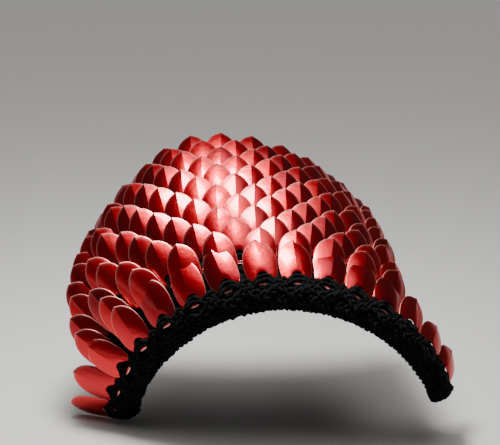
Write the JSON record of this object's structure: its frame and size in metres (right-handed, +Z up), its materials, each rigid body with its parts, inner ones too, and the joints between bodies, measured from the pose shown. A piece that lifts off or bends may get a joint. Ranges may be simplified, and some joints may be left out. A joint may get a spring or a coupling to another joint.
{
  "type": "scale mail pauldron",
  "caption": "Right-shoulder pauldron of red leaf-shaped metal scales knitted in courses onto a black yarn panel with a thick crocheted arm border.",
  "frame": {"origin": "underside of the knit at the middle of the crown, where the pauldron sits on top of the shoulder", "axes": "+X to the wearer's front, +Y in towards the neck, +Z up"},
  "size_m": [0.2699, 0.1722, 0.1904],
  "materials": {
    "black_yarn": "matt knitted and crocheted yarn",
    "red_scale": "satin polished, anodised red, with bright rims"
  },
  "bodies": {
    "root": {"knit_ground": "black_yarn", "arm_border": "black_yarn", "scale_row_01": "red_scale", "scale_row_02": "red_scale", "scale_row_03": "red_scale", "scale_row_04": "red_scale", "scale_row_05": "red_scale", "scale_row_06": "red_scale", "scale_row_07": "red_scale", "scale_row_08": "red_scale", "scale_row_09": "red_scale", "scale_row_10": "red_scale", "scale_row_11": "red_scale", "scale_row_12": "red_scale"}
  },
  "joints": []
}
